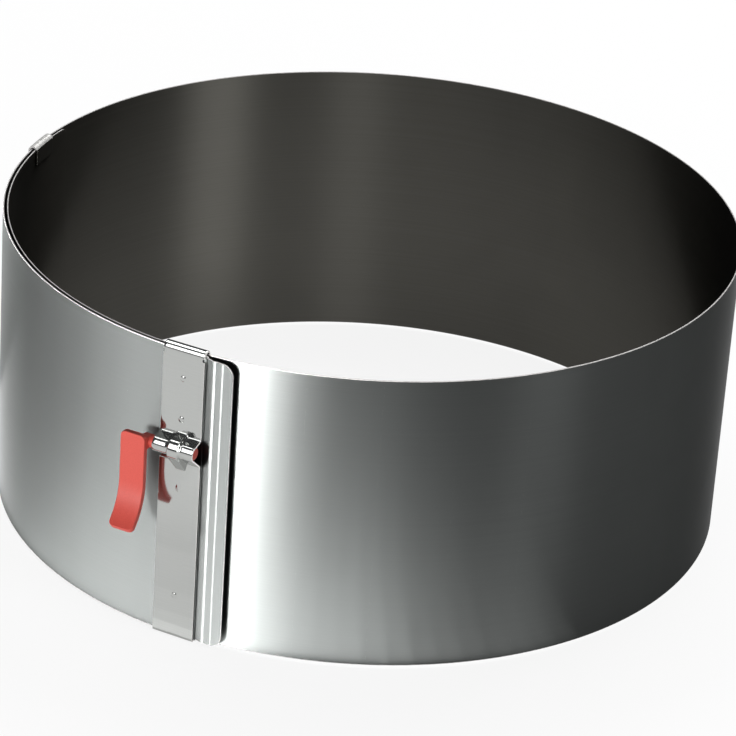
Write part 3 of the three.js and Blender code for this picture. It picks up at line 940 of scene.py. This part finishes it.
def makePlate():
    tube, bulge = platePath(plate["tube"]), platePath(plate["bulge"])
    left, right = plate["sides"]
    start = plate["bulgeMiddle"] - plate["bulgeHalf"] - plate["bulgeSlope"]
    end = plate["bulgeMiddle"] + plate["bulgeHalf"] + plate["bulgeSlope"]
    fineColumns = [(start, end, plate["bulgeStep"])]
    across = stationsOn([left, start, end, right], plate["columnStep"], fineColumns)
    heights = [
        (length, point.y) for length, point in zip(tube["lengths"], tube["points"])
        if abs(point.x - plate["middle"]) < tolerance["level"]
    ]
    below, above, spacing = plate["pipRows"]
    fineRows = []
    for height in plate["pipHeights"]:
        nearest = min(heights, key=lambda pair: abs(pair[1] - height))
        along = nearest[0] + height - nearest[1]
        fineRows.append((along - below, along + above, spacing))
    along = stationsOn(tube["lengths"], plate["rowStep"], fineRows)
    bm = griddedBlank(across, along, plate["thickness"], plate["edgeRound"])
    setUv(bm, inner=0, edge=1, edgeBelow=plate["edgeBelow"])
    for vert in bm.verts:
        x, offset = vert.co.x, -vert.co.y
        pressed = smoothRise(x, start, start + plate["bulgeSlope"]) * (
            1 - smoothRise(x, end - plate["bulgeSlope"], end))
        place = shareOf(tube["lengths"], vert.co.z)
        vert.co.yz = onPath(tube, place, offset).lerp(onPath(bulge, place, offset), pressed)
    for vert in bm.verts:
        onFace = abs(vert.co.y - plate["middle"]) < plate["faceReach"]
        for height in plate["pipHeights"]:
            away = math.hypot(vert.co.x, vert.co.z - height) / plate["pipRadius"]
            if onFace and away < 1:
                vert.co.y += plate["pipRise"] * math.sqrt(1 - away ** 2)
    bmesh.ops.recalc_face_normals(bm, faces=bm.faces[:])
    piece = finishPiece(bm, "clamp_plate_pressed", [plateSteel, edgeSteel])
    notchHeight = strip["height"] + plate["topRoom"] - plate["foldRadius"] - plate["notchRadius"]
    for side in plate["sides"]:
        cutter = bmesh.new()
        bmesh.ops.create_cone(
            cutter, cap_ends=True, segments=facets["notch"], radius1=plate["notchRadius"],
            radius2=plate["notchRadius"], depth=plate["notchDepth"],
            matrix=Matrix.Translation((side, plate["middle"], notchHeight))
            @ Matrix.Rotation(math.pi / 2, 4, "X"),
        )
        cutter.transform(toWorld)
        boolean(piece, meshObject(cutter, "notchCutter"), "DIFFERENCE")
    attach(piece, "clamp")
    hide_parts("clamp_plate")


lever = {
    "near": 9.0,  # paddle's side towards the plate
    "width": 8.6,
    "thickness": 2.0,
    "back": 5.4,  # its back, from the middle of the strip
    "head": 3.1,
    "straight": 16.5,
    "flareRadius": 19.7,
    "flareAngle": 48,
    "corner": 1.8,
    "edgeRound": 0.42,
    "sharpAbove": 40,
    "rowStep": 1,
    "hubRadius": 2.1,
    "hubLength": 2.6,
    "hubRound": 0.25,
    "shaftRadius": 2.05,
    "shaftDome": 0.7,
    "shaftStart": -9.4,  # from inside the paddle, along the axis
    "shaftEnd": 6.3,
    "camNose": 1.0,
    "camReach": 3.8,
    "camLead": 8,
    "camWidth": 2.6,
    "camMiddle": -0.35,
}


def turnedBody(profile, segments, matrix):
    bm = bmesh.new()
    verts = [bm.verts.new((radius, 0, along)) for radius, along in profile]
    edges = [bm.edges.new(pair) for pair in zip(verts, verts[1:])]
    bmesh.ops.spin(
        bm, geom=verts + edges, cent=(0, 0, 0), axis=(0, 0, 1), angle=2 * math.pi,
        steps=segments, use_merge=True,
    )
    bmesh.ops.remove_doubles(bm, verts=bm.verts[:], dist=tolerance["double"])
    bmesh.ops.recalc_face_normals(bm, faces=bm.faces[:])
    bm.transform(toWorld @ matrix)
    return bm


def sweptAcross(outline, start, end, edgeRound=0):
    bm = bmesh.new()
    bm.faces.new([bm.verts.new((start, y, z)) for y, z in outline])
    thicken(bm, (end - start, 0, 0))
    if edgeRound:
        roundOff(bm, edgesAcross(bm, 0), edgeRound, facets["cutEdge"])
    bm.transform(toWorld)
    return bm


def makeLever():
    middle = lever["back"] + lever["thickness"] / 2
    top = plate["axisHeight"] + lever["head"]
    flareTop = top - lever["straight"]
    flareCentre = (middle + lever["flareRadius"], flareTop)
    flareSweep = math.radians(lever["flareAngle"])
    flare = arcPoints(flareCentre, lever["flareRadius"], math.pi, flareSweep, facets["flare"])
    path = measured([Vector(point) for point in [(middle, top), *flare]])
    length = path["lengths"][-1]
    near, far = lever["near"], lever["near"] + lever["width"]
    outline = [(near, 0), (far, 0), (far, length), (near, length)]
    bm = flatBlank(outline, lever["thickness"], [lever["corner"]] * 4, lever["edgeRound"])
    sliceAt(bm, stationsOn(path["lengths"], lever["rowStep"])[1:-1], (0, 0, 1))
    for vert in bm.verts:
        vert.co.yz = onPath(path, shareOf(path["lengths"], vert.co.z), vert.co.y)
    bmesh.ops.recalc_face_normals(bm, faces=bm.faces[:])
    sharp = lever["sharpAbove"]
    piece = finishPiece(bm, "lever_moulding", [redPlastic], sharp)

    axis = (plate["axisStandoff"], plate["axisHeight"])
    hub = [
        (middle, axis[1] + lever["hubRadius"]),
        *arcPoints(axis, lever["hubRadius"], math.pi / 2, math.pi, facets["hub"]),
        (middle, axis[1] - lever["hubRadius"]),
    ]
    hubBody = sweptAcross(hub, near, near + lever["hubLength"], lever["hubRound"])
    boolean(piece, meshObject(hubBody, "hub"), "UNION")

    radius, dome = lever["shaftRadius"], lever["shaftDome"]
    profile = [(0, lever["shaftStart"]), (radius, lever["shaftStart"])]
    for i in range(facets["shaftDome"] + 1):
        angle = math.pi / 2 * i / facets["shaftDome"]
        profile.append((radius * math.cos(angle), lever["shaftEnd"] + dome * math.sin(angle)))
    along = Matrix.Translation((0, *axis)) @ Matrix.Rotation(-math.pi / 2, 4, "Y")
    shaft = turnedBody(profile, facets["shaft"], along)
    boolean(piece, meshObject(shaft, "shaft"), "UNION")

    # The cam's round nose is joined to the shaft by its two tangents.
    noseRadius, arm = lever["camNose"], lever["camReach"] - lever["camNose"]
    pointing = math.pi - math.radians(lever["camLead"])
    nose = (axis[0] + arm * math.cos(pointing), axis[1] + arm * math.sin(pointing))
    flank = math.acos((radius - noseRadius) / arm)
    outline = [
        *arcPoints(axis, radius, pointing + flank, 2 * (math.pi - flank), facets["cam"]),
        *arcPoints(nose, noseRadius, pointing - flank, 2 * flank, facets["camNose"]),
    ]
    halfCam = lever["camWidth"] / 2
    cam = sweptAcross(outline, lever["camMiddle"] - halfCam, lever["camMiddle"] + halfCam)
    boolean(piece, meshObject(cam, "cam"), "UNION")
    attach(piece, "lever")
    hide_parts("lever")


clip = {
    "length": 12.5,
    "thickness": 0.5,
    "place": 13.4,  # its middle, from the start of the tail
    "inner": -0.57,  # its legs, from the middle of the tail
    "outer": 2.25,
    "innerLeg": 6.5,
    "outerLeg": 2.6,
    "foldRadius": 1.25,
    "foldSteps": 10,
    "rimRoom": {"clip_upper": 0.78, "clip_lower": 0.55},
    "edgeRound": 0.1,
    "corner": 0.6,
    "rowStep": 0.8,
    "columns": 24,
    "insideFinishShort": 0.8,  # the inner leg takes the strip's inner finish, its rolled grain and painted inside shade, up to this far before the fold
}


def makeClips():
    for name, replaced, rim, away in (
        ("clip_upper", "tail_clip_top", strip["height"], 1),
        ("clip_lower", "tail_clip_bottom", 0, -1),
    ):
        fold = rim + away * clip["rimRoom"][name]
        corners = [
            (clip["inner"], fold - away * clip["innerLeg"]), (clip["inner"], fold),
            (clip["outer"], fold), (clip["outer"], fold - away * clip["outerLeg"]),
        ]
        path = measured(roundedPath(corners, [clip["foldRadius"]] * 2, clip["foldSteps"]))
        half = clip["length"] / 2
        total = path["lengths"][-1]
        outline = [(-half, 0), (half, 0), (half, total), (-half, total)]
        bm = flatBlank(outline, clip["thickness"], [clip["corner"]] * 4, clip["edgeRound"])
        sliceAt(bm, stationsOn(path["lengths"], clip["rowStep"])[1:-1], (0, 0, 1))
        columns = clip["columns"]
        sliceAt(bm, [-half + clip["length"] * i / columns for i in range(1, columns)], (1, 0, 0))
        setUv(bm, inner=0, edge=2)
        # The inner leg, inside the ring, takes the strip's inner finish, whose colour is painted
        # shade.
        for face in bm.faces:
            if face.calc_center_median().z < clip["innerLeg"] - clip["insideFinishShort"]:
                face.material_index = 1
        middle = arcs[-1]["from"] + clip["place"]
        for vert in bm.verts:
            outward, height = onPath(path, shareOf(path["lengths"], vert.co.z), vert.co.y)
            along = onStrip(middle + vert.co.x, outward)
            vert.co = (along.x, along.y, height)
        bmesh.ops.recalc_face_normals(bm, faces=bm.faces[:])
        piece = finishPiece(bm, name, [clipSteel, innerSteel, edgeSteel])
        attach(piece, "tail")
        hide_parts(replaced)


makeGrip()
print("grip folded")
makePlate()
print("clamp plate pressed")
makeLever()
print("lever moulded")
makeClips()
print("clips folded")
